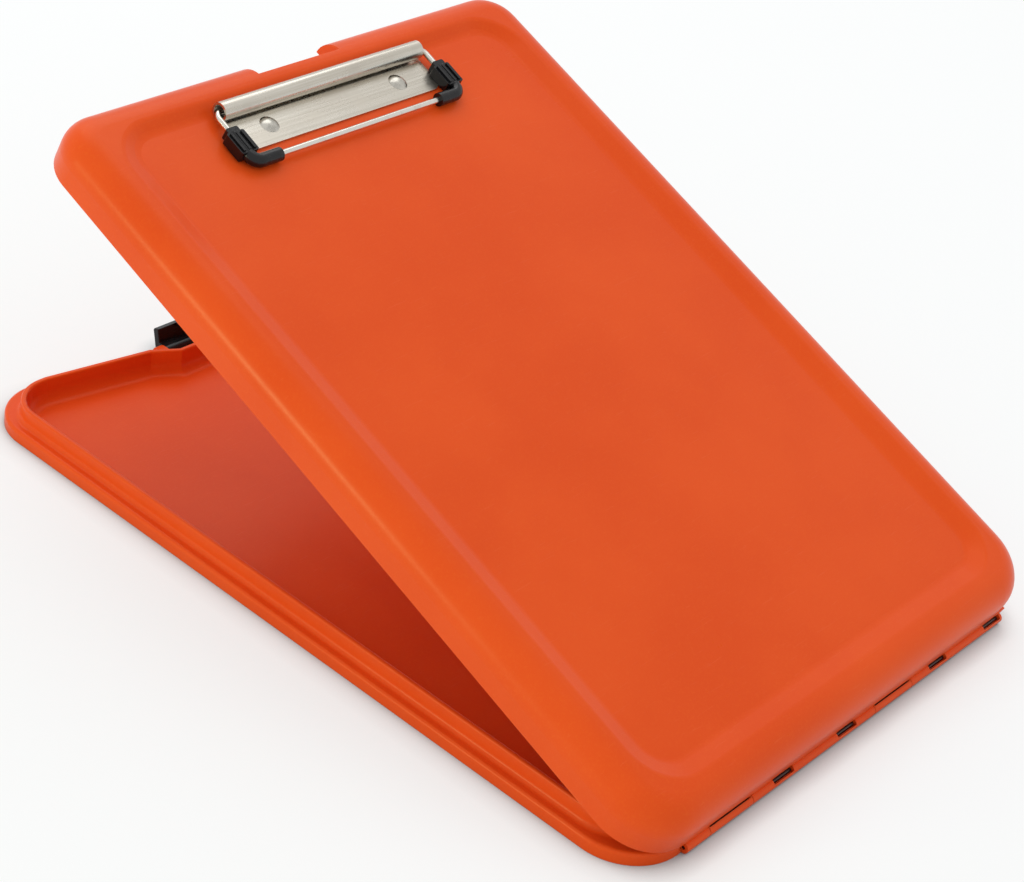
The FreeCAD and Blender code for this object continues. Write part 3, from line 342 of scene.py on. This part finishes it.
def skin(name, rings):
    """A closed tube of quads over rings of points, with a face over each end ring."""
    count, sides = rings.shape[:2]
    first = (np.arange(count - 1)[:, None] * sides + np.arange(sides)[None, :]).ravel()
    turn = (np.arange(count - 1)[:, None] * sides + (np.arange(sides)[None, :] + 1) % sides).ravel()
    quads = np.stack([first, turn, turn + sides, first + sides], 1)
    ends = [list(range(sides))[::-1], list(range((count - 1) * sides, count * sides))]
    mesh = bpy.data.meshes.new(name)
    mesh.from_pydata(rings.reshape(-1, 3).tolist(), [], quads.tolist() + ends)
    mesh.update()
    made = bpy.data.objects.new(name, mesh)
    bpy.context.scene.collection.objects.link(made)
    fix_outside(mesh)
    mesh.shade_smooth()
    return made


def fix_outside(mesh):
    """Turns the faces outwards where the signed volume says that they point in."""
    mesh.calc_loop_triangles()
    corner = np.array([t.vertices[:] for t in mesh.loop_triangles])
    point = np.array([v.co[:] for v in mesh.vertices])
    a, b, c = (point[corner[:, k]] - point.mean(0) for k in range(3))
    if np.einsum("ij,ij->i", a, np.cross(b, c)).sum() < 0:
        mesh.flip_normals()


def wound_spring(name, side, finish):
    """Torsion spring: x runs along the tube, y and z = coil radius * (cos, sin) of the turn. At its inner
    end the last fifth of a turn opens out towards the tube's wall."""
    turns, points = 12.5, 360
    leg_share, leg_rise = 0.015, 0.00032
    t = np.linspace(0.0, 1.0, points)
    angle = 2 * math.pi * turns * t
    leg = np.clip((t - 1.0 + leg_share) / leg_share, 0.0, 1.0)
    radius = COIL_RADIUS + leg_rise * leg
    room = SPRING_LENGTH - 2 * COIL_WIRE
    x = SPRING_OUTER_END - COIL_WIRE - room * t
    line = np.stack([x * side, radius * np.cos(angle), radius * np.sin(angle)], 1) + BAIL_AXIS
    made = tube(name, line, COIL_WIRE, 10)
    made.data.materials.append(finish.material)
    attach(made, "bail")
    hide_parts(name.replace("_coil", ""))


orange_tray = moulded_orange("orange_tray", False)
orange_lid = moulded_orange("orange_lid", True)
dress("tray", orange_tray)
dress("lid", orange_lid)
dress("latch", black_latch())
grip_black = black_grip()
dress("left_grip", grip_black)
dress("right_grip", grip_black)
dress("clip_plate", nickel_sheet())
dress("bail_wire", nickel_wire())
dress("clip_rivets", plated_fastener("rivet_nickel", (0.68, 0.65, 0.58)))
dress("rivet_washers", plated_fastener("washer_zinc", (0.58, 0.60, 0.62)))
# The hinge pin's near-black brown is painted shade: a dark pin put where the hinge's windows are in shade.
dress("hinge_pin", drawn_steel("hinge_pin_painted_shade", (0.13, 0.095, 0.085), 0.34))
dress("latch_pin", drawn_steel("latch_pin_steel", (0.50, 0.50, 0.51), 0.28))
spring_steel = drawn_steel("spring_steel", (0.36, 0.36, 0.38), 0.30)
wound_spring("left_spring_coil", -1, spring_steel)
wound_spring("right_spring_coil", 1, spring_steel)


def pale_floor():
    """Plain white floor. Part of what the camera sees of it glows, less so close to the object, so that the
    wide shadow stays pale and the line of contact dark. Close to the object its matt colour is darkened as
    well, a painted contact shadow over the real one, tinted cool so that this shade reads blue-grey."""
    size, drop = 3.0, 0.0001
    corners = [(-size, -size, 0), (size, -size, 0), (size, size, 0), (-size, size, 0)]
    mesh = bpy.data.meshes.new("floor")
    mesh.from_pydata(corners, [], [(0, 1, 2, 3)])
    floor = bpy.data.objects.new("floor", mesh)
    floor.location.z = -drop
    bpy.context.scene.collection.objects.link(floor)
    material = bpy.data.materials.new("pale_floor")
    graph = Graph(material)
    # Painted contact shadow: the occlusion darkens the floor's matt colour near the object, and its cool
    # tint colours that shade blue-grey.
    open_sky = graph.node("ShaderNodeAmbientOcclusion", {},
                          {"Distance": 0.011, "Color": (0.86, 0.93, 0.96)}, "AO")
    seen = graph.node("ShaderNodeLightPath", {}, {}, "Is Camera Ray")
    share = seen * (open_sky.math("POWER", 1.6) * 0.58)
    matt = graph.node("ShaderNodeBsdfDiffuse", {}, {"Color": open_sky.sibling("Color")})
    glow = graph.node("ShaderNodeEmission", {}, {"Color": (1.05, 1.02, 1.0)})
    graph.show(graph.node("ShaderNodeMixShader", {}, {0: share, 1: matt, 2: glow}))
    mesh.materials.append(material)


def even_surround():
    """World light: the same pale grey all round, a shade stronger for the camera and in mirrors."""
    world = bpy.data.worlds.new("studio")
    bpy.context.scene.world = world
    graph = Graph(world)
    seen = graph.node("ShaderNodeLightPath", {}, {}, "Is Camera Ray")
    direct = seen.math("MAXIMUM", seen.sibling("Is Transmission Ray"))
    direct = direct.math("MAXIMUM", seen.sibling("Is Glossy Ray"))
    level = graph.node("ShaderNodeMapRange", {}, {"Value": direct, "To Min": 0.99, "To Max": 1.0}, "Result")
    back = graph.node("ShaderNodeBackground", {}, {"Color": (0.8, 0.8, 0.8), "Strength": level})
    graph.show(back, "ShaderNodeOutputWorld")


def softbox(name, place, target, size, power, colour=(1.0, 1.0, 1.0)):
    """A rectangular soft lamp that faces a point."""
    lamp = bpy.data.lights.new(name, "AREA")
    lamp.shape = "RECTANGLE"
    lamp.size, lamp.size_y = size
    lamp.energy = power
    lamp.color = colour
    made = bpy.data.objects.new(name, lamp)
    place, target = np.array(place, float), np.array(target, float)
    made.location = place
    away = Vector((place - target).tolist())
    made.rotation_mode = "QUATERNION"
    made.rotation_quaternion = away.to_track_quat("Z", "Y")
    bpy.context.scene.collection.objects.link(made)


def camera():
    """The photograph's viewpoint, from the outlines of tray and lid."""
    right = np.array([0.651418, -0.742232, 0.157309])
    down = np.array([-0.327134, -0.461839, -0.824432])
    forward = np.array([0.684572, 0.485588, -0.543659])
    focal_pixels, picture_pixels, sensor = 2396.3, 1024, 36.0
    lens = bpy.data.cameras.new("camera")
    lens.sensor_width = sensor
    lens.lens = focal_pixels / picture_pixels * sensor
    lens.clip_start, lens.clip_end = 0.01, 20.0
    made = bpy.data.objects.new("camera", lens)
    made.location = (-0.62954, -0.44757, 0.5343)
    made.rotation_mode = "QUATERNION"
    turn = np.stack([right, -down, -forward], 1)
    made.rotation_quaternion = Matrix(turn.tolist()).to_quaternion()
    bpy.context.scene.collection.objects.link(made)
    bpy.context.scene.camera = made


pale_floor()
even_surround()
softbox("key", place=(-1.25, 0.4, 0.20), target=(-0.1, 0.0, 0.05), size=(0.30, 0.20), power=3.6,
        colour=(0.82, 1.0, 0.66))
softbox("top", place=(0.4, 0.7, 1.3), target=(0.0, 0.0, 0.0), size=(1.2, 1.2), power=5.6)
camera()
bpy.context.scene.view_settings.view_transform = "Standard"
